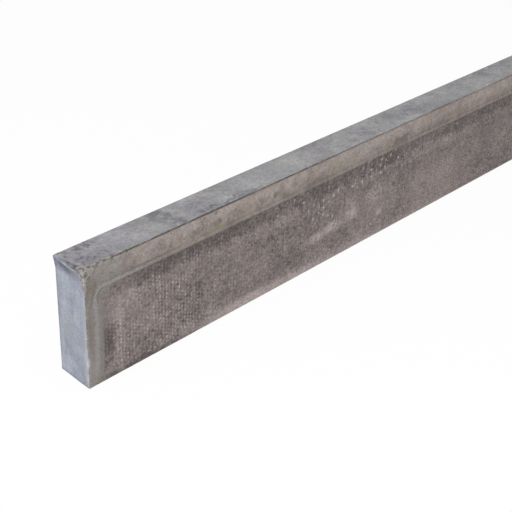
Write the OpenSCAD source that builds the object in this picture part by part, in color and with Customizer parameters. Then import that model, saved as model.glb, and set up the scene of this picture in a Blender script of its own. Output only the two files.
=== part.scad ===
// Flat-top concrete kerb stone, pressed as one piece.
// Millimetres. Origin at the middle of the base, +X along the length,
// +Y from the patterned front face towards the back face, +Z up.

/* [Block] */
// Length along the front face, end to end
length = 915; // [300:5:1000]
// Thickness from the front face to the back face
thickness = 50; // [45:1:70]
// Height of the front face
height = 150; // [120:1:260]
// Fall of the top face from front to back
top_fall = 4; // [0:0.5:8]
// Draft of each end face, from front to back
end_draft = 2; // [0:0.5:4]
// Worn flat on the long edges and on the upright edges
arris = 1; // [0.4:0.1:3]

/* [Front panel] */
// Depth of the panel below the smooth border
panel_depth = 2.5; // [0.5:0.1:5]
// Height of the smooth band above the panel
top_band = 31; // [15:1:45]
// Height of the smooth strip below the panel
foot_strip = 4; // [3:0.5:15]
// Width of the smooth border at each end of the panel
end_border = 15; // [8:1:30]
// Width of the slope between the border and the panel's floor
slope_width = 10; // [2:0.5:16]
// Radius of the panel's corners at the border
corner_radius = 9; // [4:0.5:12]

/* [Hidden] */
$fn = 32;
half_length = length / 2;
half_thickness = thickness / 2;
back_height = height - top_fall;
panel_length = length - 2 * end_border;
panel_height = height - top_band - foot_strip;
panel_mid = foot_strip + panel_height / 2;
// The slope's lower rim keeps a round corner of at least 2 mm.
floor_radius = max(2, corner_radius - slope_width / 2);
over = 1;

// Section seen along +X, as [Y, Z].
module section() {
    polygon([
        [-half_thickness + arris, 0],
        [half_thickness - arris, 0],
        [half_thickness, arris],
        [half_thickness, back_height - arris],
        [half_thickness - arris, back_height + top_fall * arris / thickness],
        [-half_thickness + arris, height - top_fall * arris / thickness],
        [-half_thickness, height - arris],
        [-half_thickness, arris]
    ]);
}

// Outline seen from above, as [X, Y], with both ends drawn in towards the back.
module plan() {
    front_end = half_length;
    back_end = half_length - end_draft;
    lean = end_draft * arris / thickness;
    polygon([
        [-front_end + arris, -half_thickness],
        [front_end - arris, -half_thickness],
        [front_end - lean, -half_thickness + arris],
        [back_end + lean, half_thickness - arris],
        [back_end - arris, half_thickness],
        [-back_end + arris, half_thickness],
        [-back_end - lean, half_thickness - arris],
        [-front_end + lean, -half_thickness + arris]
    ]);
}

// The plain block: the section along the length, cut to the plan.
module block() {
    intersection() {
        rotate([90, 0, 90])
            translate([0, 0, -half_length - over])
                linear_extrude(height = length + 2 * over)
                    section();
        translate([0, 0, -over])
            linear_extrude(height = height + 2 * over)
                plan();
    }
}

// A rectangle with round corners, standing in the X-Z plane at depth y.
module rounded_plate(size_x, size_z, radius, y, depth) {
    translate([0, y, panel_mid])
        rotate([-90, 0, 0])
            linear_extrude(height = depth)
                offset(r = radius)
                    square([size_x - 2 * radius, size_z - 2 * radius], center = true);
}

// The hollow of the front panel, wide at the border and narrower at its floor.
module panel_hollow() {
    skin = 0.01;
    hull() {
        rounded_plate(panel_length, panel_height, corner_radius, -half_thickness - skin, skin);
        rounded_plate(
            panel_length - 2 * slope_width,
            panel_height - 2 * slope_width,
            floor_radius,
            -half_thickness + panel_depth - skin,
            skin
        );
    }
}

module kerb_stone() {
    color([0.55, 0.52, 0.50])
        difference() {
            block();
            panel_hollow();
        }
}

kerb_stone();
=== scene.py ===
"""Dresses a pressed concrete kerb stone: its cast form, its press marks, its concrete and a plain stage.

Metres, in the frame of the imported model: +X along the length, -Y the patterned front, +Z up, with the
origin at the middle of the base.
"""
import math
from collections import namedtuple

import bpy
import numpy as np
from bpy.props import FloatProperty, FloatVectorProperty, IntProperty, PointerProperty
from bpy.types import Operator, Panel, PropertyGroup
from mathutils import Matrix, Vector
from mathutils.geometry import delaunay_2d_cdt


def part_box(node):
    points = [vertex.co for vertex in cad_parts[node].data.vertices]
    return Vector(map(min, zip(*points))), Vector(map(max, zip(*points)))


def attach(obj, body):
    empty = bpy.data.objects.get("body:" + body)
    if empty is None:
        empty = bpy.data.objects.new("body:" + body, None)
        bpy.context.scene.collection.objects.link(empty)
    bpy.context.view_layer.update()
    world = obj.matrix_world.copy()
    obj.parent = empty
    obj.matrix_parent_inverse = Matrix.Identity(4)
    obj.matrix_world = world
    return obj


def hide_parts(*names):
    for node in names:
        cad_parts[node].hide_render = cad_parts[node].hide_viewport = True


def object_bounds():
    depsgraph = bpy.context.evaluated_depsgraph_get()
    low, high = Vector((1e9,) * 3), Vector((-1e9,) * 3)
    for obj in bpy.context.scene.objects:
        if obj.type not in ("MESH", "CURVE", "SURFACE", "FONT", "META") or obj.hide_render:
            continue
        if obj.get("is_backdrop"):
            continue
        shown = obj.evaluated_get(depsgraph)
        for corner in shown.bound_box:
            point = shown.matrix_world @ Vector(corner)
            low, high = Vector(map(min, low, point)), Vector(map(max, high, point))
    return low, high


bl_info = {
    "name": "Pressed kerb stone",
    "version": (1, 0, 0),
    "blender": (4, 5, 0),
    "location": "3D View > Sidebar > Kerb",
    "description": "Builds a pressed concrete kerb stone with its press marks, and a plain stage",
    "category": "Object",
}

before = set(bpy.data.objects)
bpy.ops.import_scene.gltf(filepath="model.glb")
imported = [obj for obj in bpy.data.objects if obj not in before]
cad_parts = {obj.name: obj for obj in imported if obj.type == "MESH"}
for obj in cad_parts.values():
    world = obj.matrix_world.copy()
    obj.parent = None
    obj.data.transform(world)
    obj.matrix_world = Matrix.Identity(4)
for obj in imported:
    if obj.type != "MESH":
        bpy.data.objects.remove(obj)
CAD_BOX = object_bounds()
NODE = "kerb_stone"
BODY = "root"
LOW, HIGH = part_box(NODE)
LENGTH = HIGH[0] - LOW[0]
THICKNESS = HIGH[1] - LOW[1]
HEIGHT = HIGH[2] - LOW[2]
NEAR_END = LOW[0]
MM = 0.001
SENSOR_WIDTH = 36.0
WHITE = (1.0, 1.0, 1.0, 1.0)
FLOOR_GREY = (0.8, 0.8, 0.8, 1.0)

# Steps of the mesh on the panel, on the rest of the front, round the section and over the end faces
ROWS_PER_DOT, STEPS_PER_COLUMN = 4, 3
FOOT_ROWS, BEAD_ROWS, BAND_ROWS = 2, 7, 8
TOP_STEPS, BACK_STEPS, BASE_STEPS = 18, 9, 4
SEAM_STEPS, EDGE_STEPS = 5, 3
END_SPACING, LIP_SPACING = 2.5 * MM, 0.9 * MM


# Sizes and colours that a user may change
def property_kind(make, **settings):
    """A function that makes properties of one kind, from a name, a description and a default."""
    def made(name, description, default):
        return make(name=name, description=description, default=default, **settings)
    return made


length = property_kind(FloatProperty, unit="LENGTH", precision=5)
angle = property_kind(FloatProperty, subtype="ANGLE")
focus = property_kind(FloatProperty, subtype="DISTANCE_CAMERA")
power = property_kind(FloatProperty, unit="POWER")
factor = property_kind(FloatProperty, subtype="FACTOR", soft_min=0.0, soft_max=1.0)
spot = property_kind(FloatVectorProperty, subtype="TRANSLATION")
colour = property_kind(FloatVectorProperty, subtype="COLOR", min=0.0, max=1.0)


class KerbForm(PropertyGroup):
    """Sizes of the cast block."""

    top_fall: length("Top fall", "Fall of the top face from front to back", 4 * MM)
    end_draft: length("End draft", "How far each end leans in towards the back", 2 * MM)
    edge_radius: length("Edge radius", "Radius of the block's long edges", 1.2 * MM)
    end_radius: length("End radius", "Radius of the edges round each end", 0.8 * MM)
    top_band: length("Top band", "Height of the smooth band above the panel", 31 * MM)
    foot_strip: length("Foot strip", "Height of the smooth strip below the panel", 4 * MM)
    end_border: length("End border", "Width of the smooth border at the panel's ends", 16 * MM)
    corner_radius: length("Corner radius", "Radius of the panel's corners", 9 * MM)
    panel_depth: length("Panel depth", "Depth of the front panel's sunk margin", 2.5 * MM)
    margin_width: length("Margin width", "From the border to the deepest part of the margin", 16 * MM)
    middle_rise: length("Middle rise", "Rise of the panel's middle over its margin", 1.2 * MM)
    step_depth: length("Step depth", "Depth of the sharp step under the top band", 0.9 * MM)
    bead_height: length("Bead height", "Height of the bead round the panel", 0.38 * MM)
    bead_width: length("Bead width", "Width of the bead round the panel", 4.4 * MM)
    groove_depth: length("Groove depth", "Depth of the groove outside the bead", 0.35 * MM)
    seam_depth: length("Seam depth", "Depth of the open seam along the front top edge", 1.0 * MM)
    lip_reach: length("Lip reach", "How far the lip at the left end's top stands out", 3.2 * MM)
    lip_height: length("Lip height", "Height over which the lip flares out", 14 * MM)
    crack_depth: length("Crack depth", "Depth of the crack in the top behind the lip", 0.8 * MM)


class KerbPress(PropertyGroup):
    """Marks that the press plate, the mould and handling left."""

    column_pitch: length("Column pitch", "Distance between the columns of press dots", 4.7 * MM)
    row_pitch: length("Row pitch", "Distance between the dots in a column", 4.9 * MM)
    dot_radius: length("Dot radius", "Radius of a press dot at its foot", 2.35 * MM)
    dot_height: length("Dot height", "Height of a press dot", 0.8 * MM)
    wave_height: length("Wave height", "Height of the slow unevenness of every face", 0.15 * MM)
    grain_height: length("Grain height", "Height of the coarse grain of every face", 0.08 * MM)
    crumble_depth: length("Crumble depth", "Depth of the bites in the worn edges", 1.2 * MM)
    rough_height: length("Rough height", "Height of the grain at the broken corner", 0.35 * MM)
    seed: IntProperty(name="Seed", description="Seed of the patches, bites, waves and grain", default=7)


class KerbColours(PropertyGroup):
    """Linear colours of the concrete's finishes."""

    end_light: colour("End, light", "Smooth end face", (0.306, 0.321, 0.370))
    end_dark: colour("End, dark", "Darker cloud on the end face", (0.195, 0.205, 0.250))
    end_green: colour("End, green", "Greenish cloud on the end face", (0.245, 0.27, 0.285))
    # Painted highlight along the lip's broken edge
    lip_highlight: colour("Lip, light", "Light broken edge of the lip", (0.46, 0.465, 0.49))
    # Painted shadow under the lip, with a purplish stain; the end face's dark specks share this colour
    lip_shade_and_stain: colour("Lip stain", "Purplish stain under the lip", (0.10, 0.10, 0.135))
    top_light: colour("Top, light", "Dry patches of the top face", (0.35, 0.345, 0.34))
    top_dark: colour("Top, dark", "Damp purplish patches of the top face", (0.125, 0.12, 0.138))
    top_green: colour("Top, green", "Greenish patches of the top face", (0.235, 0.245, 0.232))
    top_tint: colour("Top, tint", "Purplish tint of the top near the left end", (0.955, 0.94, 1.0))
    band_light: colour("Band, light", "Clean part of the smooth border", (0.385, 0.333, 0.310))
    band_dark: colour("Band, dark", "Stained part of the smooth border", (0.165, 0.138, 0.124))
    band_olive: colour("Band, olive", "Yellowish stain of the smooth border", (0.26, 0.225, 0.17))
    band_speck: colour("Band, specks", "Brown specks of the smooth border", (0.12, 0.095, 0.07))
    band_grey: colour("Band, grey", "Greenish grey border and slope at the ends", (0.222, 0.214, 0.198))
    ridge: colour("Ridge", "Greenish grey bead at the left end", (0.268, 0.262, 0.264))
    # The panel's tone runs between these two: lighter on the press marks' crests, darker in the hollows between
    # them
    panel_light: colour("Panel, light", "Worn crests of the panel", (0.375, 0.32, 0.31))
    panel_dark: colour("Panel, dark", "Dirty hollows of the panel", (0.045, 0.036, 0.034))
    pale: colour("Pale", "Cement specks and chipped edges", (0.50, 0.465, 0.45))
    broken_light: colour("Broken, light", "Grain of the broken corner", (0.285, 0.266, 0.253))
    broken_dark: colour("Broken, dark", "Hollows of the broken corner", (0.115, 0.101, 0.093))
    # Painted shade inside the open seam and the crack
    seam_and_crack_shade: colour("Line, dark", "Open seam and crack", (0.055, 0.048, 0.044))


class KerbStage(PropertyGroup):
    """Camera, lamps and floor."""

    aim: spot("Aim", "Point that the camera looks at", (-0.20402, -0.025, 0.06233))
    distance: length("Distance", "Distance from the camera to its aim", 1.30821)
    turn: angle("Turn", "Turn of the view from +Y towards +X", math.radians(47.55))
    rise: angle("Rise", "Height of the view above the horizon", math.radians(31.03))
    roll: angle("Roll", "Roll of the camera about its line of sight", math.radians(-2.46))
    lens: focus("Lens", "Focal length on a 36 mm sensor", 77.955)
    lamp_aim: spot("Lamp aim", "Point that both lamps face", (-0.2, 0.0, HEIGHT / 2))
    key_place: spot("Key place", "Place of the lamp on the left", (-3.8, -1.68, 2.75))
    key_size: length("Key size", "Side of the lamp on the left", 1.9)
    key_power: power("Key power", "Power of the lamp on the left", 205.0)
    top_place: spot("Top place", "Place of the lamp overhead", (-0.3, -0.4, 2.8))
    top_size: length("Top size", "Side of the lamp overhead", 2.0)
    top_power: power("Top power", "Power of the lamp overhead", 25.0)
    sky: factor("Sky", "Strength of the even light from all round", 0.41)
    floor_size: length("Floor size", "Side of the floor", 12.0)
    floor_white: factor("Floor white", "How white the camera sees the floor", 0.92)


# The form of the block
def smooth_step(low, high, value):
    """0 below low, 1 above high, smooth between."""
    share = np.clip((value - low) / (high - low), 0.0, 1.0)
    return share * share * (3.0 - 2.0 * share)


def smooth_fall(low, high, value):
    """1 below low, 0 above high, smooth between."""
    return 1.0 - smooth_step(low, high, value)


def hump(centre, half_width, value):
    """1 at the centre, 0 past the half width, smooth between."""
    share = np.clip(np.abs(value - centre) / half_width, 0.0, 1.0)
    return (1.0 - share * share) ** 2


def corner_arc(before, corner, after, radius, steps):
    """Points and outward normals of a round corner between two straight edges."""
    back = (before - corner) / np.linalg.norm(before - corner)
    onward = (after - corner) / np.linalg.norm(after - corner)
    half_angle = math.acos(float(back @ onward)) / 2
    reach = radius / math.tan(half_angle)
    inward = (back + onward) / np.linalg.norm(back + onward)
    centre = corner + inward * radius / math.sin(half_angle)
    first = (corner + back * reach - centre) / radius
    last = (corner + onward * reach - centre) / radius
    share = np.linspace(0.0, 1.0, steps + 1)[:, None]
    normals = first * (1.0 - share) + last * share
    normals /= np.linalg.norm(normals, axis=1, keepdims=True)
    return centre + normals * radius, normals


def panel_top(form):
    """Height of the panel's upper border."""
    return HEIGHT - form.top_band


def dot_pitch(form, press):
    """Pitch of the press dots along the length and up, fitted to whole columns and mesh rows."""
    columns = round(LENGTH / press.column_pitch)
    panel_height = panel_top(form) - form.foot_strip
    rows = round(ROWS_PER_DOT * panel_height / press.row_pitch)
    return LENGTH / columns, ROWS_PER_DOT * panel_height / rows


def first_mark(form):
    """Where the rows and columns of the press marks start."""
    return NEAR_END, 0.0, form.foot_strip


def front_rows(form, press):
    """Heights of the points up the front: close rows on the panel and its bead, wider ones on the band."""
    top = panel_top(form)
    bead_top = top + 1.7 * form.bead_width
    count = round(ROWS_PER_DOT * (top - form.foot_strip) / dot_pitch(form, press)[1])
    foot = np.linspace(form.edge_radius, form.foot_strip, FOOT_ROWS + 1)[1:-1]
    panel = np.linspace(form.foot_strip, top, count + 1)
    bead = np.linspace(top, bead_top, BEAD_ROWS + 1)[1:]
    band = np.linspace(bead_top, HEIGHT - form.edge_radius, BAND_ROWS + 1)[1:-1]
    return np.concatenate((foot, panel, bead, band))


def section_loop(form, press):
    """Points round the section, as (Y, Z), their outward normals, and marks of the front and its seam."""
    half = THICKNESS / 2
    corners = np.array([(-half, 0.0), (-half, HEIGHT), (half, HEIGHT - form.top_fall), (half, 0.0)])
    shares = [front_rows(form, press) / HEIGHT]
    shares += [np.linspace(0.0, 1.0, steps + 1)[1:-1] for steps in (TOP_STEPS, BACK_STEPS, BASE_STEPS)]
    front_side, seam_corner = 0, 1
    points, normals, front, seam = [], [], [], []
    for side in range(4):
        before, corner, after = corners[side - 1], corners[side], corners[(side + 1) % 4]
        steps = SEAM_STEPS if side == seam_corner else EDGE_STEPS
        arc, arc_normals = corner_arc(before, corner, after, form.edge_radius, steps)
        along = corner + (after - corner) * shares[side][:, None]
        points += [arc, along]
        normals += [arc_normals, np.repeat(arc_normals[-1:], len(along), axis=0)]
        front += [np.zeros(len(arc)), np.full(len(along), float(side == front_side))]
        round_arc = hump(0.5, 0.75, np.linspace(0.0, 1.0, steps + 1)) * (side == seam_corner)
        seam += [round_arc, np.zeros(len(along))]
    return [np.concatenate(part) for part in (points, normals, front, seam)]


def length_stations(form, press):
    """Places along X: a few steps to a column of dots, closer at the left end and round the end edges."""
    half = LENGTH / 2
    lip_zone = 12 * MM
    clear = 1.25 * form.end_radius
    step = dot_pitch(form, press)[0] / STEPS_PER_COLUMN
    even = np.arange(-half, half + step / 2, step)
    between = even[even < -half + lip_zone] + step / 2
    even = np.sort(np.concatenate((even, between)))
    edge = form.end_radius * (1.0 - np.cos(np.linspace(0.0, math.pi / 2, EDGE_STEPS + 1)))
    inner = even[np.abs(even) < half - clear]
    return np.concatenate((-half + edge, inner, (half - edge)[::-1]))


def panel_distance(x, z, form):
    """Distance inside the panel's border, negative outside it."""
    top = panel_top(form)
    half_x = LENGTH / 2 - form.end_border
    half_z = (top - form.foot_strip) / 2
    middle = (top + form.foot_strip) / 2
    over_x = np.abs(x) - (half_x - form.corner_radius)
    over_z = np.abs(z - middle) - (half_z - form.corner_radius)
    outside = np.hypot(np.maximum(over_x, 0.0), np.maximum(over_z, 0.0))
    return form.corner_radius - outside - np.minimum(np.maximum(over_x, over_z), 0.0)


def border_relief(inside, x, z, form):
    """Height of the front over its border: a groove, a bead, a step, a sunk margin and a raised middle.

    The bead is broad beside the panel, narrow above it, and worn down along the middle of the kerb.
    """
    top = panel_top(form)
    upper = smooth_step(top - 26 * MM, top - 8 * MM, z)
    beside = 1.0 - upper
    off_foot = smooth_step(4 * MM, 24 * MM, z)
    worn_down = 0.75 * smooth_step(70 * MM, 190 * MM, LENGTH / 2 - np.abs(x))
    crown = -0.5 * form.bead_width
    inner_reach = np.where(inside > crown, 1.3, 0.4)
    bead = form.bead_height * hump(crown, form.bead_width * (0.55 + inner_reach * beside), inside)
    groove_at = -form.bead_width * (1.3 + 0.6 * beside)
    groove = form.groove_depth * hump(groove_at, form.bead_width * (0.5 + 0.4 * beside), inside)
    step = form.step_depth * upper
    sunk = step * smooth_step(-0.4 * MM, 1.4 * MM, inside)
    sunk += (form.panel_depth - step) * smooth_step(0.0, form.margin_width, inside)
    middle = form.middle_rise * smooth_step(1.1 * form.margin_width, 2.1 * form.margin_width, inside)
    return (bead - groove) * off_foot * (1.0 - worn_down) - sunk + middle


def panel_floor(inside, x, z, form):
    """Share of the marked floor: from the step under the band, and from past a plain slope at the ends."""
    top = panel_top(form)
    at_end = smooth_fall(30 * MM, 45 * MM, LENGTH / 2 - np.abs(x))
    beside = at_end * smooth_fall(top - 8 * MM, top + 2 * MM, z)
    start = 0.5 * MM + 5.5 * MM * beside
    blur = 1.1 * MM + 5.4 * MM * beside
    return smooth_step(start - blur, start + blur, inside)


def seam_share(x):
    """How open the seam along the front top edge is: most in the left half, less at the left end."""
    along = x - NEAR_END
    opening = 0.7 * smooth_step(15 * MM, 60 * MM, along)
    closing = 0.5 * smooth_step(310 * MM, 440 * MM, along)
    return 0.3 + opening - closing


def below_top(points, form):
    """How far each point is below the sloped top."""
    share = (points[:, 1] + THICKNESS / 2) / THICKNESS
    return HEIGHT - form.top_fall * share - points[:, 2]


def lip_shift(points, form):
    """How far each point moves out of the left end: a lip that flares at the top and fades at the front."""
    edge = 2.0 * MM
    down = below_top(points, form)
    flare = np.clip(1.0 - (down - edge) / form.lip_height, 0.0, 1.0) ** 2.2
    rolled = 1.0 - 0.4 * smooth_step(0.0, edge, edge - down)
    near = smooth_fall(0.0, 12 * MM, points[:, 0] - NEAR_END)
    back = smooth_step(3 * MM, 18 * MM, points[:, 1] + THICKNESS / 2)
    return form.lip_reach * flare * rolled * near * (0.35 + 0.65 * back)


def cap_faces(loop, form, fine_from):
    """Inner points of an end face as (Y, Z), closer above a height, and the face's triangles."""
    clear = 2 * MM
    inner = []
    for spacing, low, high in ((END_SPACING, clear, fine_from), (LIP_SPACING, fine_from, HEIGHT)):
        for y in np.arange(-THICKNESS / 2 + clear, THICKNESS / 2 - clear, spacing):
            top = HEIGHT - form.top_fall * (y + THICKNESS / 2) / THICKNESS
            inner += [(y, z) for z in np.arange(low, min(high, top - clear), spacing)]
    flat = [Vector(p) for p in list(loop) + inner]
    count = len(loop)
    rim = [(i, (i + 1) % count) for i in range(count)]
    inside_only, merge_distance = 1, 1e-7
    made = delaunay_2d_cdt(flat, rim, [], inside_only, merge_distance)
    if len(made[0]) != len(flat):
        raise RuntimeError("the end face's points didn't stay apart")
    source = [ids[0] for ids in made[3]]
    faces = [tuple(source[i] for i in face) for face in made[2]]
    return np.array(inner), faces


def stone_surface(form, press):
    """The closed surface of the block: points, faces and a dict of point marks."""
    stations = length_stations(form, press)
    loop, normals, on_front, on_seam = section_loop(form, press)
    rings, around = len(stations), len(loop)
    from_end = np.minimum(LENGTH / 2 - np.abs(stations), form.end_radius)
    inset = form.end_radius - np.sqrt(form.end_radius ** 2 - (form.end_radius - from_end) ** 2)
    station, level = stations[:, None], loop[None, :, 1]
    inside = panel_distance(station, level, form)
    relief = border_relief(inside, station, level, form) * on_front
    floor = panel_floor(inside, station, level, form) * on_front
    seam = on_seam[None, :] * seam_share(station) * (inset[:, None] == 0.0)
    out = relief - inset[:, None] - form.seam_depth * seam
    share = (loop[:, 0] + THICKNESS / 2) / THICKNESS
    x = station * (1.0 - form.end_draft * share / (LENGTH / 2))
    y = loop[:, 0] + normals[:, 0] * out
    z = loop[:, 1] + normals[:, 1] * out
    points = np.stack((x, y, z), axis=2).reshape(-1, 3)

    i, j = np.meshgrid(np.arange(rings - 1), np.arange(around), indexing="ij")
    k = (j + 1) % around
    quads = np.stack((i * around + j, (i + 1) * around + j, (i + 1) * around + k, i * around + k), axis=2)
    faces = [tuple(q) for q in quads.reshape(-1, 4).tolist()]

    end_share = np.repeat(inset / form.end_radius, around)
    far_outside = -50 * MM
    marks = {
        "front": np.tile(np.clip(-normals[:, 0], 0.0, 1.0) ** 2, rings) * (1.0 - end_share),
        "top": np.tile(np.clip(normals[:, 1], 0.0, 1.0) ** 2, rings) * (1.0 - end_share),
        "end": end_share,
        "inside": np.where(on_front > 0, inside, far_outside).reshape(-1),
        "floor": floor.reshape(-1),
        "seam": seam.reshape(-1),
    }
    blank = {"front": 0.0, "top": 0.0, "end": 1.0, "inside": far_outside, "floor": 0.0, "seam": 0.0}
    lip_zone = 22 * MM
    for ring, side, fine_from in ((0, -1.0, HEIGHT - lip_zone), (rings - 1, 1.0, HEIGHT)):
        first = ring * around
        inner, triangles = cap_faces(points[first:first + around, 1:], form, fine_from)
        start = len(points)
        inner_share = (inner[:, 0] + THICKNESS / 2) / THICKNESS
        inner_x = side * (LENGTH / 2 - form.end_draft * inner_share)
        points = np.concatenate((points, np.column_stack((inner_x, inner))))
        for face in triangles:
            face = [first + v if v < around else start + v - around for v in face]
            faces.append(tuple(face if side > 0 else reversed(face)))
        marks = {name: np.concatenate((marks[name], np.full(len(inner), blank[name]))) for name in marks}
    marks.update(wear_marks(points, form))
    points[:, 0] -= lip_shift(points, form)
    points[:, 2] -= form.crack_depth * marks["crack"] * (1.0 - marks["end"])
    return points, faces, marks


def wear_marks(points, form):
    """Marks of the worn edges, the broken corner, and the lip's painted highlight on its edge, its crack and its
    painted shadow with stain.
    """
    along = points[:, 0] - NEAR_END
    depth = points[:, 1] + THICKNESS / 2
    down = below_top(points, form)
    x_edge = LENGTH / 2 - form.end_draft * depth / THICKNESS - np.abs(points[:, 0])
    y_edge = THICKNESS / 2 - np.abs(points[:, 1])
    z_edge = np.minimum(points[:, 2], down)
    nearest_two = np.sort(np.stack((x_edge, y_edge, z_edge)), axis=0)[1]
    edge = smooth_fall(0.4 * MM, 2.6 * MM, nearest_two)
    upright = (along < 4 * MM) & (depth < 4 * MM)
    corner_off = along / (12 * MM) + depth / (15 * MM) + down / (33 * MM)
    top_edge = smooth_fall(1.5 * MM, 5 * MM, np.maximum(depth, down)) * smooth_fall(35 * MM, 85 * MM, along)
    on_left = smooth_fall(1.0 * MM, 2.5 * MM, x_edge) * (points[:, 0] < 0.0)
    chip_depth = 1.2 * MM + 3.4 * MM * smooth_fall(14 * MM, 38 * MM, depth)
    lip_span = smooth_step(13 * MM, 18 * MM, depth) * smooth_fall(31 * MM, 36 * MM, depth)
    chip_span = smooth_step(7 * MM, 12 * MM, depth) * smooth_fall(36 * MM, 43 * MM, depth)
    lip_shade_span = 0.4 + 0.6 * smooth_step(4 * MM, 30 * MM, depth)
    behind_lip = smooth_fall(1.5 * MM, 4.5 * MM, along) * (down < 0.5 * MM)
    above_lip = smooth_fall(-1.2 * MM, 0.2 * MM, down - chip_depth) * on_left
    return {
        "worn": edge * np.where(upright, 0.5, 0.12),
        "rough": np.maximum(smooth_fall(0.7, 1.15, corner_off), top_edge),
        # Painted highlight: a light line along the lip's broken edge
        "lip": hump(chip_depth + 1.2 * MM, 1.9 * MM, down) * on_left * lip_span,
        "crack": np.maximum(behind_lip, above_lip) * chip_span,
        # Painted shadow under the lip, with a stain
        "lip_shade_and_stain": hump(chip_depth + 6.5 * MM, 12 * MM, down) * on_left * lip_shade_span,
    }


# Nodes, and the press marks that they make
class Field:
    """A node's output. A sum or product with it, like each of its methods, adds a node to its tree."""

    def __init__(self, tree, socket):
        self.tree = tree
        self.socket = socket

    def math(self, operation, other=0.0):
        """A math node's result, for numbers or vectors as this field is."""
        vectors = self.socket.type in ("VECTOR", "RGBA")
        kind = "ShaderNodeVectorMath" if vectors else "ShaderNodeMath"
        return field(self.tree, kind, {0: self, 1: other}, operation=operation)

    def __add__(self, other):
        return self.math("ADD", other)

    def __sub__(self, other):
        return self.math("SUBTRACT", other)

    def __mul__(self, other):
        return self.math("MULTIPLY", other)

    def __truediv__(self, other):
        return self.math("DIVIDE", other)

    def __mod__(self, other):
        return self.math("FLOORED_MODULO", other)

    def __abs__(self):
        return self.math("ABSOLUTE")

    def __round__(self):
        return self.math("ROUND")

    __radd__ = __add__
    __rmul__ = __mul__

    def at_least(self, other):
        """The larger of two numbers."""
        return self.math("MAXIMUM", other)

    def ramp(self, low, high, start=0.0, end=1.0):
        """A smooth change from start to end as the number goes from low to high."""
        inputs = {"Value": self, "From Min": low, "From Max": high, "To Min": start, "To Max": end}
        return field(self.tree, "ShaderNodeMapRange", inputs, interpolation_type="SMOOTHSTEP")

    def scaled(self, amount):
        """The vector times a number."""
        return field(self.tree, "ShaderNodeVectorMath", {0: self, "Scale": amount}, operation="SCALE")

    def distance(self):
        """The length of the vector."""
        return field(self.tree, "ShaderNodeVectorMath", {0: self}, "Value", operation="LENGTH")

    def parts(self):
        """The three numbers of the vector."""
        node = add(self.tree, "ShaderNodeSeparateXYZ", {0: self})
        return [Field(self.tree, part) for part in node.outputs]


def add(tree, kind, inputs=None, **settings):
    """A new node with its settings, and its inputs set or linked to fields, by name or place."""
    node = tree.nodes.new(kind)
    for name, value in settings.items():
        setattr(node, name, value)
    for key, value in (inputs or {}).items():
        if isinstance(value, Field):
            tree.links.new(value.socket, node.inputs[key])
        else:
            node.inputs[key].default_value = value
    return node


def field(tree, kind, inputs=None, output=0, **settings):
    """One output of a new node."""
    return Field(tree, add(tree, kind, inputs, **settings).outputs[output])


def noise(place, size, detail=3.0, seed=0.0, roughness=0.55):
    """Noise whose patches are about that size."""
    inputs = {"Vector": place, "W": seed, "Scale": 0.5 / size, "Detail": detail, "Roughness": roughness}
    return field(place.tree, "ShaderNodeTexNoise", inputs, noise_dimensions="4D")


def blend(share, a, b):
    """A colour between a and b, each of them a field or three numbers."""
    a, b = (end if isinstance(end, Field) else (*end, 1.0) for end in (a, b))
    return field(share.tree, "ShaderNodeMix", {"Factor": share, 6: a, 7: b}, 2, data_type="RGBA")


def blank_material(name):
    """A new material and its empty node tree."""
    material = bpy.data.materials.new(name)
    material.use_nodes = True
    material.node_tree.nodes.clear()
    return material, material.node_tree


def from_left(distance):
    """The place along X that is so many millimetres from the left end."""
    return NEAR_END + distance * MM


def press_mark(place, column_pitch, row_pitch, radius):
    """The height on the nearest mark of the press cloth, the offsets from it and its three chances.

    The marks stand in staggered columns that stray a little, and every second column is weaker.
    Most marks are tall and some are wide, as a cloth's threads cross.
    """
    tree = place.tree
    stray, stray_size = 3.2 * MM, 7 * MM
    weak_column = 0.68
    crown_share = 0.25
    drift = field(tree, "ShaderNodeTexNoise", {"Vector": place, "Scale": 0.5 / stray_size}, "Color")
    x, _, z = (place + (drift - (0.5, 0.5, 0.5)).scaled(stray)).parts()
    column = round(x / column_pitch)
    odd = column % 2.0
    rows_up = z / row_pitch + odd * 0.5
    row = round(rows_up)
    cell = field(tree, "ShaderNodeCombineXYZ", {"X": column, "Y": row})
    drawn = field(tree, "ShaderNodeTexWhiteNoise", {"Vector": cell}, "Color", noise_dimensions="3D")
    chances = drawn.parts()
    off_x = x - column * column_pitch
    off_z = (rows_up - row) * row_pitch
    crest = odd.ramp(0.0, 1.0, 1.0, weak_column)
    for off, wide, tall in ((off_x, 1.0, 0.65), (off_z, 0.65, 1.1)):
        half = chances[0].ramp(0.15, 0.5, wide, tall) * radius
        crest = abs(off).ramp(half * crown_share, half, 1.0, 0.0) * crest
    return crest, (off_x, off_z), chances


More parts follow.
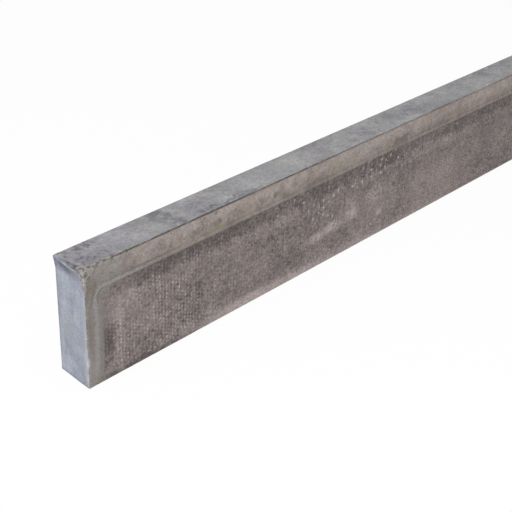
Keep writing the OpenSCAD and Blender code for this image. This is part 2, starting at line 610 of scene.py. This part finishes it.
def press_tree():
    """A node tree that raises staggered press dots on the front panel and wears every face and edge."""
    patch_size, bite_size, broken_size = 13 * MM, 3 * MM, 5 * MM
    wave_size, grain_size = 45 * MM, 3 * MM
    tree = bpy.data.node_groups.new("Press marks and wear", "GeometryNodeTree")
    tree.interface.new_socket("Geometry", in_out="OUTPUT", socket_type="NodeSocketGeometry")
    for name, kind in (("Geometry", "Geometry"), ("Column pitch", "Float"), ("Row pitch", "Float"),
                       ("Dot radius", "Float"), ("Dot height", "Float"), ("Wave height", "Float"),
                       ("Grain height", "Float"), ("Crumble depth", "Float"), ("Rough height", "Float"),
                       ("First mark", "Vector"), ("Seed", "Int"), ("Material", "Material")):
        tree.interface.new_socket(name, in_out="INPUT", socket_type="NodeSocket" + kind)
    sockets = tree.nodes.new("NodeGroupInput").outputs
    place = field(tree, "GeometryNodeInputPosition")
    normal = field(tree, "GeometryNodeInputNormal")
    x, _, z = place.parts()

    def given(name):
        """An input of the tree."""
        return Field(tree, sockets[name])

    def mark(name):
        """A mark stored on the mesh's points."""
        return field(tree, "GeometryNodeInputNamedAttribute", {"Name": name}, data_type="FLOAT")

    def patches(size):
        """Noise of the tree's own seed."""
        return noise(place, size, seed=given("Seed"))

    def uneven(size, height):
        """Bumps and hollows of a size, up to a height either way."""
        return (patches(size) - 0.5) * 2.0 * height

    marked = place - given("First mark")
    crest = press_mark(marked, given("Column pitch"), given("Row pitch"), given("Dot radius"))[0]
    on_panel = mark("floor") * mark("inside").ramp(1 * MM, 5 * MM)
    clear_low = z.ramp(40 * MM, 95 * MM, 0.1, -0.05)
    clear = (patches(patch_size) + clear_low).ramp(0.36, 0.6, 0.15, 1.0)
    worn_far = x.ramp(from_left(100), from_left(200), 1.0, 0.6)
    filled = on_panel * clear * worn_far

    bites = patches(bite_size).ramp(0.44, 0.64) * mark("worn")
    crumble = bites * given("Crumble depth") * -1.0
    broken = mark("rough") * uneven(broken_size, given("Rough height"))
    rough = uneven(wave_size, given("Wave height")) + uneven(grain_size, given("Grain height"))
    rough = rough * z.ramp(0.2 * MM, 3 * MM)
    raised = crest * filled * given("Dot height") * -1.0
    dots = field(tree, "ShaderNodeCombineXYZ", {"Y": raised})
    shift = normal.scaled(crumble + rough + broken) + dots

    shape = given("Geometry")
    for name, value in (("filled", filled), ("bite", bites)):
        store = {"Geometry": shape, "Name": name, "Value": value}
        shape = field(tree, "GeometryNodeStoreNamedAttribute", store, data_type="FLOAT", domain="POINT")
    shape = field(tree, "GeometryNodeSetPosition", {"Geometry": shape, "Offset": shift})
    shape = field(tree, "GeometryNodeRealizeInstances", {0: shape})
    shape = field(tree, "GeometryNodeSetMaterial", {"Geometry": shape, "Material": given("Material")})
    add(tree, "NodeGroupOutput", {0: shape})
    return tree


def pressed(stone, tree, values):
    """Runs the tree on the stone with these inputs and keeps the result as its plain mesh."""
    modifier = stone.modifiers.new("Press", "NODES")
    modifier.node_group = tree
    for item in tree.interface.items_tree:
        if item.in_out == "INPUT" and item.name in values:
            modifier[item.identifier] = values[item.name]
    depsgraph = bpy.context.evaluated_depsgraph_get()
    evaluated = stone.evaluated_get(depsgraph)
    mesh = bpy.data.meshes.new_from_object(evaluated, preserve_all_data_layers=True, depsgraph=depsgraph)
    stone.modifiers.remove(modifier)
    blank = stone.data
    stone.data = mesh
    bpy.data.meshes.remove(blank)
    mesh.name = stone.name
    mesh.shade_smooth()


# Stains, in millimetres from the left end, the front and the base. ANY reaches past the whole stone
ANY = 1000
TOP_LEVEL = 150
Stain = namedtuple("Stain", "along back up halves lightness")


def front_stains(*stains):
    """Stains of the front, each given by its place along and up, its two half sizes and its lightness."""
    return [Stain(along, 0, up, (half_along, ANY, half_up), lightness)
            for along, up, half_along, half_up, lightness in stains]


def top_stains(*stains):
    """Stains of the top, each given by its place along and back, its two half sizes and its lightness."""
    return [Stain(along, back, TOP_LEVEL, (half_along, half_back, ANY), lightness)
            for along, back, half_along, half_back, lightness in stains]


PANEL_STAINS = front_stains(
    # A dark hollow at the left end, light columns beside it and a dark foot
    (32, 52, 10, 20, -0.16),
    (26, 98, 9, 28, 0.14),
    (45, 50, 7, 56, 0.14),
    (58, 88, 24, 20, 0.09),
    (27, 12, 10, 12, -0.10),
    # Soft clouds of the left half
    (161, 58, 5, 20, -0.12),
    (136, 32, 56, 30, -0.08),
    (114, 14, 26, 26, -0.10),
    (184, 20, 15, 10, 0.10),
    (150, 107, 14, 9, -0.10),
    (228, 99, 16, 14, 0.08),
    (265, 45, 15, 11, 0.08),
    (307, 72, 26, 20, -0.13),
    # The foot, dark at the left and then pale
    (80, 3, 66, 7, -0.14),
    (246, 3, 88, 9, 0.46),
    (362, 3, 42, 8, 0.34),
    (440, 2, 70, 8, 0.26),
    (570, 1, 130, 7, 0.22),
    # Soft clouds further on
    (438, 105, 3, 28, 0.10),
    (350, 62, 16, 20, -0.08),
    (492, 90, 36, 18, -0.10),
    (570, 80, 80, 28, -0.06),
    (590, 40, 40, 34, 0.13),
    (645, 42, 30, 34, 0.13),
    (635, 94, 22, 10, 0.20),
)
# Pale cement that was rubbed across the panel
PALE_SMEARS = front_stains(
    (366, 43, 17, 7, 0.64),
    (394, 47, 18, 8, 0.66),
    (428, 60, 20, 20, 0.26),
    (436, 51, 12, 10, 0.34),
    (482, 64, 25, 17, 0.30),
    (493, 33, 8, 7, 0.85),
    (494, 18, 9, 5, 0.20),
)
# Where pale specks are likely
SPECK_FIELDS = front_stains((450, 106, 230, 26, 0.5), (365, 72, 50, 20, 0.3), (490, 25, 44, 16, 0.35))
BAND_STAINS = front_stains(
    # Dark blots of the band
    (527, 129, 20, 7, -0.42),
    (283, 134, 6, 4, -0.35),
    (252, 130, 5, 6, -0.30),
    (268, 132, 14, 8, -0.18),
    (193, 133, 4, 4, -0.35),
    (120, 137, 6, 5, -0.20),
    (160, 134, 9, 4, -0.20),
    # The border at the left end, a long streak and the corner
    (8, 122, 15, 30, -0.12),
    (7, 72, 6, 30, -0.16),
    (5, 126, 8, 9, -0.14),
    (210, 133, 110, 7, -0.12),
    (34, 140, 24, 20, -0.14),
    # Light patches
    (6, 20, 10, 26, 0.16),
    (92, 140, 34, 14, 0.08),
    (470, 143, 22, 7, 0.15),
    (195, 143, 14, 6, 0.20),
)
# The greyer border at the left end: its foot, its upright and its corner
GREY_BORDER = front_stains((5, 30, 9, 50, 0.5), (7, 98, 7, 24, 0.6), (30, 135, 20, 26, 0.95))
TOP_STAINS = top_stains(
    # The dark left end, and patches after it
    (32, 44, 12, 10, -0.30),
    (12, 25, 32, 60, -0.16),
    (78, 20, 28, 30, 0.14),
    (96, 40, 22, 14, -0.16),
    (120, 12, 10, 9, 0.20),
    # A damp streak right across the top
    (126, 32, 7, 60, -0.40),
    (139, 20, 8, 60, -0.44),
    # Dark patches near the front edge, and soft clouds
    (178, 38, 24, 14, -0.08),
    (228, 5, 44, 8, -0.42),
    (276, 28, 36, 26, 0.17),
    (345, 32, 42, 20, 0.12),
    (430, 14, 16, 8, -0.24),
    (480, 10, 14, 8, -0.20),
    (570, 20, 12, 14, -0.13),
)
# A chip in the left end's front edge
CHIP = Stain(1, 1, 34, (2.5, 2.5, 6), 0.5)


# The concrete and its finishes
class Finish:
    """The concrete's shared noise fields and marks, read once for all its finishes."""

    def __init__(self, tree):
        self.tree = tree
        self.place = field(tree, "ShaderNodeTexCoord", output="Object")
        self.x, self.y, self.z = self.place.parts()
        self.cloud = noise(self.place, 24 * MM, detail=4.0)
        self.mottle = noise(self.place, 6 * MM, detail=4.0, seed=3.0)
        self.fine = noise(self.place, 2.4 * MM, detail=2.0, seed=9.0)
        self.grain = noise(self.place, 0.9 * MM, detail=3.0, seed=5.0)
        drawn_out = self.place * (1.0, 1.0, 0.12)
        self.streak = noise(drawn_out, 3.5 * MM, detail=3.0, seed=13.0)
        mean = 1.3
        self.ragged = 0.9 * self.cloud + 1.1 * self.mottle + 0.6 * self.fine - mean

    def mark(self, name):
        """A mark stored on the mesh's points."""
        return field(self.tree, "ShaderNodeAttribute", output="Fac", attribute_name=name)

    def along(self, low, high, start=0.0, end=1.0):
        """A smooth change along the kerb, between two distances from the left end in millimetres."""
        return self.x.ramp(from_left(low), from_left(high), start, end)

    def patch(self, stain):
        """1 inside a stain with a ragged edge, 0 outside it."""
        raggedness = 1.7
        centre = (from_left(stain.along), LOW[1] + stain.back * MM, LOW[2] + stain.up * MM)
        off = (self.place - centre) / [half * MM for half in stain.halves]
        return (off.distance() + raggedness * self.ragged).ramp(0.35, 1.35, 1.0, 0.0)

    def stained(self, tone, stains):
        """The tone, lighter or darker inside each stain."""
        for stain in stains:
            tone = tone + self.patch(stain) * stain.lightness
        return tone


def end_finish(finish, colours):
    """Smooth bluish concrete of the ends, back and base, with painted shadow and a stain under the lip and a
    painted highlight on its edge.
    """
    half = THICKNESS / 2
    tone = 0.45 * finish.cloud + 0.25 * finish.mottle + 0.3 * finish.streak
    tone = tone.ramp(0.38, 0.62, 0.1, 1.0)
    foot = finish.z.ramp(1 * MM, 5 * MM, -0.9, 0.0)
    back = finish.y.ramp(half - 6 * MM, half, 0.0, -0.3)
    front = finish.y.ramp(7 * MM - half, 1 * MM - half, 0.0, 0.3) * finish.z.ramp(120 * MM, 90 * MM)
    base = blend(tone + foot + back + front, colours.end_dark, colours.end_light)
    green = noise(finish.place, 15 * MM, seed=21.0).ramp(0.46, 0.62, 0.0, 0.7)
    base = blend(green, base, colours.end_green)
    base = blend(finish.fine.ramp(0.64, 0.74, 0.0, 0.3), base, colours.lip_shade_and_stain)
    # Painted shadow under the lip, with a purplish stain
    stain = finish.mark("lip_shade_and_stain") * finish.mottle.ramp(0.35, 0.55, 0.6, 1.0)
    base = blend(stain, base, colours.lip_shade_and_stain)
    # Painted highlight along the lip's broken edge
    return blend(finish.mark("lip") * 0.7, base, colours.lip_highlight)


def top_finish(finish, colours):
    """Cloudy grey concrete of the top, darker and more pitted near the left end, with painted shadow along the
    seam.
    """
    tone = 0.45 * finish.cloud + 0.3 * finish.mottle + 0.25 * finish.fine
    tone = finish.stained(tone.ramp(0.34, 0.66, 0.2, 0.95), TOP_STAINS)
    pitted = finish.along(10, 60, 1.0, 0.15) * finish.fine.ramp(0.36, 0.5, -0.25, 0.0)
    open_seam = finish.along(20, 70, 0.3, 1.0) * finish.along(300, 420, 1.0, 0.8)
    open_seam = open_seam * finish.mottle.ramp(0.36, 0.56)
    # Painted shadow along the top's front edge, beside the open seam
    seam_shadow = finish.y.ramp(LOW[1] + 3.5 * MM, LOW[1] + 1 * MM, 0.0, -0.7) * open_seam
    base = blend(tone + pitted + seam_shadow, colours.top_dark, colours.top_light)
    green = noise(finish.place, 18 * MM, seed=27.0).ramp(0.5, 0.66, 0.0, 0.45)
    base = blend(green, base, colours.top_green)
    tinted = noise(finish.place, 16 * MM, seed=33.0).ramp(0.42, 0.6, 0.2, 1.0)
    tinted = tinted * finish.along(20, 240, 1.0, 0.3)
    return base * blend(tinted, WHITE[:3], colours.top_tint)


def band_finish(finish, colours, form):
    """Smooth brownish concrete round the panel: lighter at the top, greyer at the left, olive stains."""
    top = panel_top(form)
    inside = finish.mark("inside")
    tone = 0.3 * finish.cloud + 0.4 * finish.mottle + 0.3 * finish.fine
    tone = finish.stained(tone.ramp(0.36, 0.64, 0.25, 0.95), BAND_STAINS)
    lower = finish.z.ramp(top + 8 * MM, top + 21 * MM, -0.26, 0.0)
    left = finish.along(4, 30, -0.2, 0.0)
    rim = finish.z.ramp(HEIGHT - 4.5 * MM, HEIGHT - 1 * MM, 0.0, -0.27)
    beaded = inside.ramp(-8 * MM, -4 * MM, 0.0, -0.11)
    groove = inside.ramp(-8 * MM, -5.6 * MM) * inside.ramp(-5.4 * MM, -3.6 * MM, 1.0, 0.0)
    groove = groove * finish.z.ramp(60 * MM, 110 * MM) * finish.along(200, 330, -0.28, -0.16)
    base = blend(tone + lower + left + rim + beaded + groove, colours.band_dark, colours.band_light)
    olive = noise(finish.place, 13 * MM, seed=17.0).ramp(0.5, 0.64, 0.0, 0.5)
    olive = olive * finish.along(60, 150, 0.25, 1.0) * finish.z.ramp(top + 10 * MM, top + 24 * MM, 1.0, 0.4)
    base = blend(olive, base, colours.band_olive)
    streaked = finish.streak.ramp(0.35, 0.6, 0.5, 1.0)
    for stain, grey in zip(GREY_BORDER, (colours.ridge, colours.band_grey, colours.band_grey)):
        base = blend(finish.patch(stain) * streaked * stain.lightness, base, grey)
    base = blend(inside.ramp(1 * MM, 4 * MM, 0.0, 0.9), base, colours.band_grey)
    bead_reach = finish.z.ramp(top - 20 * MM, top - 2 * MM, 4.6 * MM, 2.6 * MM)
    off_bead = inside + form.bead_width / 2
    off_bead = (off_bead * -1.0).at_least(off_bead * 0.55)
    bead = off_bead.ramp(0.3 * MM, bead_reach, 1.0, 0.0)
    bead = bead * finish.along(130, 40, 0.1, 0.7) * finish.z.ramp(4 * MM, 30 * MM, 0.3, 1.0)
    base = blend(bead, base, colours.ridge)
    return blend(finish.fine.ramp(0.58, 0.7, 0.0, 0.6), base, colours.band_speck)


def panel_finish(finish, colours, form, press):
    """Rough brown-grey concrete of the panel: light press marks, darker hollows, pale smears and specks."""
    top = panel_top(form)
    faded, darkest = 0.6, 0.14
    marked = finish.place - first_mark(form)
    pitches = dot_pitch(form, press)
    crest, offs, chances = press_mark(marked, *pitches, press.dot_radius)
    plain_far = finish.along(100, 240, 1.0, faded)
    plain_near = finish.along(20, 60, 0.25, 1.0)
    shown = finish.mark("filled") * plain_far * plain_near
    dots = crest * shown * chances[1].ramp(0.0, 1.0, 0.25, 1.0)
    upright, level = (abs(off).ramp(0.0, pitch / 2, 0.5, -0.5) for off, pitch in zip(offs, pitches))
    weave = noise(finish.place, 9 * MM, seed=31.0)
    threads = upright * weave.ramp(0.4, 0.56) + level * weave.ramp(0.6, 0.44)
    grit = noise(finish.place, 1.5 * MM, detail=1.0, seed=41.0) - 0.5
    grit = grit * plain_far.ramp(faded, 1.0, 1.0, 0.75)
    pits = finish.fine.ramp(0.33, 0.47, -0.1, 0.0) * plain_far.ramp(faded, 1.0, 0.5, 1.0)
    tone = 0.35 * finish.cloud + 0.35 * finish.mottle + 0.3 * finish.fine
    tone = finish.stained(tone.ramp(0.36, 0.64, 0.275, 0.605) + pits, PANEL_STAINS)
    pattern = 0.57 * dots + 0.08 * (threads * shown) + 0.85 * grit
    wisps = (0.5 * finish.mottle + 0.5 * finish.fine).ramp(0.4, 0.58, 0.25, 1.0)
    smears = finish.stained(0.0, PALE_SMEARS) * wisps
    ragged_edge = 5 * MM * finish.ragged + 6 * MM * finish.fine + 3 * MM * crest
    # Painted shade in the panel's margin just under the top band
    strip = (finish.mark("inside") + ragged_edge).ramp(18.5 * MM, 28.5 * MM, -0.2, 0.0)
    strip = strip * finish.z.ramp(top - 34 * MM, top - 24 * MM)
    strip = strip * finish.along(25, 75, 0.4, 1.0) * finish.along(280, 340, 1.0, 0.8)
    tone = (tone + pattern + smears + strip).at_least(darkest)
    base = blend(tone, colours.panel_dark, colours.panel_light)
    speck_pitches = [2.0 * pitch for pitch in pitches]
    speck, _, chances = press_mark(marked, *speck_pitches, 1.4 * press.dot_radius)
    likely = finish.stained(chances[2], SPECK_FIELDS).ramp(0.9, 1.4, 0.0, 0.65)
    base = blend(likely * speck, base, colours.pale)
    rim = finish.z.ramp(3.5 * MM, 1 * MM) * finish.along(120, 220, 0.1, 0.5)
    return blend(rim, base, colours.band_light)


def concrete(colours, form, press):
    """The kerb's material: each face's own finish, mixed by the marks on its points."""
    material, tree = blank_material("pressed_concrete")
    finish = Finish(tree)
    edge = 0.8 * finish.ragged + 0.8 * (finish.fine - 0.5)
    foot = finish.z.ramp(form.foot_strip + 8 * MM, form.foot_strip)
    foot = foot * abs(finish.x).ramp(LENGTH / 2 - 15 * MM, LENGTH / 2 - 25 * MM)
    on_panel = (finish.mark("floor") + edge).ramp(0.25, 0.75).at_least(foot)
    front = blend(on_panel, band_finish(finish, colours, form), panel_finish(finish, colours, form, press))
    uneven = finish.ragged * 0.3
    front_share = (finish.mark("front") + uneven).ramp(0.25, 0.5)
    top_share = (finish.mark("top") + uneven).ramp(0.4, 0.6)
    skin = blend(top_share, end_finish(finish, colours), top_finish(finish, colours))
    skin = blend(front_share, skin, front)
    broken = blend(finish.fine.ramp(0.4, 0.56), colours.broken_dark, colours.broken_light)
    skin = blend(finish.mark("rough") * 0.85, skin, broken)
    # Painted shade in the crack behind the lip
    crack = finish.mark("crack") * finish.fine.ramp(0.4, 0.55, 0.9, 0.4)
    skin = blend(crack, skin, colours.seam_and_crack_shade)
    skin = blend(finish.mark("bite") * 0.3, skin, colours.pale)
    skin = blend(finish.patch(CHIP) * CHIP.lightness, skin, colours.pale)
    # Painted shade in the open seam along the front top edge
    seam = finish.mark("seam").ramp(0.05, 0.7) * finish.mottle.ramp(0.35, 0.55, 0.55, 1.0)
    skin = blend(seam, skin, colours.seam_and_crack_shade)
    speckle = finish.grain.ramp(0.3, 0.7, 0.85, 1.15)
    height = 0.4 * finish.mottle + 0.3 * finish.fine + 0.3 * finish.grain
    relief = finish.mark("end").ramp(0.0, 1.0, 0.6 * MM, 0.25 * MM)
    shader = field(tree, "ShaderNodeBsdfPrincipled", {
        "Base Color": skin.scaled(speckle),
        "Roughness": finish.mottle.ramp(0.3, 0.7, 0.78, 0.95),
        "Specular IOR Level": 0.25,
        "Normal": field(tree, "ShaderNodeBump", {"Strength": 0.6, "Distance": relief, "Height": height}),
    })
    add(tree, "ShaderNodeOutputMaterial", {"Surface": shader})
    return material


class KERB_OT_cast_stone(Operator):
    """Casts the kerb stone as one closed mesh with its press marks, wear and concrete"""

    bl_idname = "kerb.cast_stone"
    bl_label = "Cast Kerb Stone"

    def execute(self, context):
        scene = context.scene
        form, press = scene.kerb_form, scene.kerb_press
        points, faces, marks = stone_surface(form, press)
        mesh = bpy.data.meshes.new("cast_kerb")
        mesh.from_pydata(points.tolist(), [], faces)
        for name, values in marks.items():
            layer = mesh.attributes.new(name, "FLOAT", "POINT")
            layer.data.foreach_set("value", values.astype(np.float32))
        stone = bpy.data.objects.new("cast_kerb", mesh)
        scene.collection.objects.link(stone)
        column_pitch, row_pitch = dot_pitch(form, press)
        pressed(stone, press_tree(), {
            "Column pitch": column_pitch,
            "Row pitch": row_pitch,
            "Dot radius": press.dot_radius,
            "Dot height": press.dot_height,
            "Wave height": press.wave_height,
            "Grain height": press.grain_height,
            "Crumble depth": press.crumble_depth,
            "Rough height": press.rough_height,
            "First mark": first_mark(form),
            "Seed": press.seed,
            "Material": concrete(scene.kerb_colours, form, press),
        })
        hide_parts(NODE)
        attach(stone, BODY)
        return {"FINISHED"}


# The stage
def seen_rays(tree):
    """1 for the rays that show the surround itself: straight to the camera, in gloss or through glass."""
    path = add(tree, "ShaderNodeLightPath").outputs
    indirect = Field(tree, path["Is Glossy Ray"]).at_least(Field(tree, path["Is Transmission Ray"]))
    return Field(tree, path["Is Camera Ray"]).at_least(indirect)


def floor_material(white_share):
    """Pale floor that the camera sees as white, less the soft shadow of the stone."""
    material, tree = blank_material("pale_floor")
    matt = field(tree, "ShaderNodeBsdfDiffuse", {"Color": FLOOR_GREY})
    white = field(tree, "ShaderNodeEmission", {"Color": WHITE, "Strength": 1.0})
    mixed = field(tree, "ShaderNodeMixShader", {0: seen_rays(tree) * white_share, 1: matt, 2: white})
    add(tree, "ShaderNodeOutputMaterial", {"Surface": mixed})
    return material


def floor_square(stage):
    """A square floor at the level of the stone's base."""
    half = stage.floor_size / 2
    corners = [(-half, -half, 0), (half, -half, 0), (half, half, 0), (-half, half, 0)]
    mesh = bpy.data.meshes.new("floor")
    mesh.from_pydata(corners, [], [(0, 1, 2, 3)])
    mesh.materials.append(floor_material(stage.floor_white))
    floor = bpy.data.objects.new("floor", mesh)
    floor.location.z = LOW[2]
    return floor


def lamp(scene, name, place, aim, size, watts):
    """A soft square lamp that points at the aim."""
    data = bpy.data.lights.new(name, "AREA")
    data.size = size
    data.energy = watts
    shown = bpy.data.objects.new(name, data)
    shown.location = place
    shown.rotation_euler = (Vector(aim) - Vector(place)).to_track_quat("-Z", "Y").to_euler()
    scene.collection.objects.link(shown)


def white_world(scene, strength):
    """Even light from all round, which the camera sees as white."""
    world = bpy.data.worlds.new("studio")
    world.use_nodes = True
    scene.world = world
    tree = world.node_tree
    tree.nodes.clear()
    level = seen_rays(tree).ramp(0.0, 1.0, strength, 1.0)
    sky = field(tree, "ShaderNodeBackground", {"Color": WHITE, "Strength": level})
    add(tree, "ShaderNodeOutputWorld", {"Surface": sky})


def photo_camera(scene, stage):
    """The camera, from its aim, distance, turn, rise and roll."""
    ahead = math.cos(stage.rise)
    sight = Vector((math.sin(stage.turn) * ahead, math.cos(stage.turn) * ahead, -math.sin(stage.rise)))
    level = Vector((math.cos(stage.turn), -math.sin(stage.turn), 0.0))
    down = sight.cross(level)
    right = level * math.cos(stage.roll) + down * math.sin(stage.roll)
    down = down * math.cos(stage.roll) - level * math.sin(stage.roll)
    data = bpy.data.cameras.new("photo_camera")
    data.lens = stage.lens
    data.sensor_width = SENSOR_WIDTH
    camera = bpy.data.objects.new("photo_camera", data)
    turned = Matrix((right, -down, -sight)).transposed().to_4x4()
    camera.matrix_world = Matrix.Translation(Vector(stage.aim) - sight * stage.distance) @ turned
    scene.collection.objects.link(camera)
    scene.camera = camera


class KERB_OT_set_stage(Operator):
    """Lays the floor and sets the lamps, the white surround and the camera"""

    bl_idname = "kerb.set_stage"
    bl_label = "Set Stage"

    def execute(self, context):
        scene = context.scene
        stage = scene.kerb_stage
        floor = floor_square(stage)
        scene.collection.objects.link(floor)
        floor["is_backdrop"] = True
        lamp(scene, "key", stage.key_place, stage.lamp_aim, stage.key_size, stage.key_power)
        lamp(scene, "overhead", stage.top_place, stage.lamp_aim, stage.top_size, stage.top_power)
        white_world(scene, stage.sky)
        photo_camera(scene, stage)
        scene.view_settings.view_transform = "Standard"
        return {"FINISHED"}


# The add-on
class KERB_PT_sidebar(Panel):
    """Lists the kerb's sizes, colours and tools"""

    bl_idname = "KERB_PT_sidebar"
    bl_label = "Kerb Stone"
    bl_space_type = "VIEW_3D"
    bl_region_type = "UI"
    bl_category = "Kerb"

    def draw(self, context):
        scene = context.scene
        tools = (
            (KERB_OT_cast_stone, (scene.kerb_form, scene.kerb_press, scene.kerb_colours)),
            (KERB_OT_set_stage, (scene.kerb_stage,)),
        )
        for operator, groups in tools:
            box = self.layout.box()
            for group in groups:
                for name in group.__annotations__:
                    box.prop(group, name)
            box.operator(operator.bl_idname)


GROUPS = {
    "kerb_form": KerbForm,
    "kerb_press": KerbPress,
    "kerb_colours": KerbColours,
    "kerb_stage": KerbStage,
}
CLASSES = (*GROUPS.values(), KERB_OT_cast_stone, KERB_OT_set_stage, KERB_PT_sidebar)


def register():
    """Registers the classes and hangs the property groups on the scene."""
    for item in CLASSES:
        bpy.utils.register_class(item)
    for name, group in GROUPS.items():
        setattr(bpy.types.Scene, name, PointerProperty(type=group))


def unregister():
    """Takes the property groups off the scene and the classes out again."""
    for name in GROUPS:
        delattr(bpy.types.Scene, name)
    for item in reversed(CLASSES):
        bpy.utils.unregister_class(item)


def main():
    """Builds the stone and its stage."""
    register()
    bpy.ops.kerb.cast_stone()
    bpy.ops.kerb.set_stage()
    sizes = {"cad": [list(corner) for corner in CAD_BOX], "visual": [list(corner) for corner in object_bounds()]}


if __name__ == "__main__":
    main()
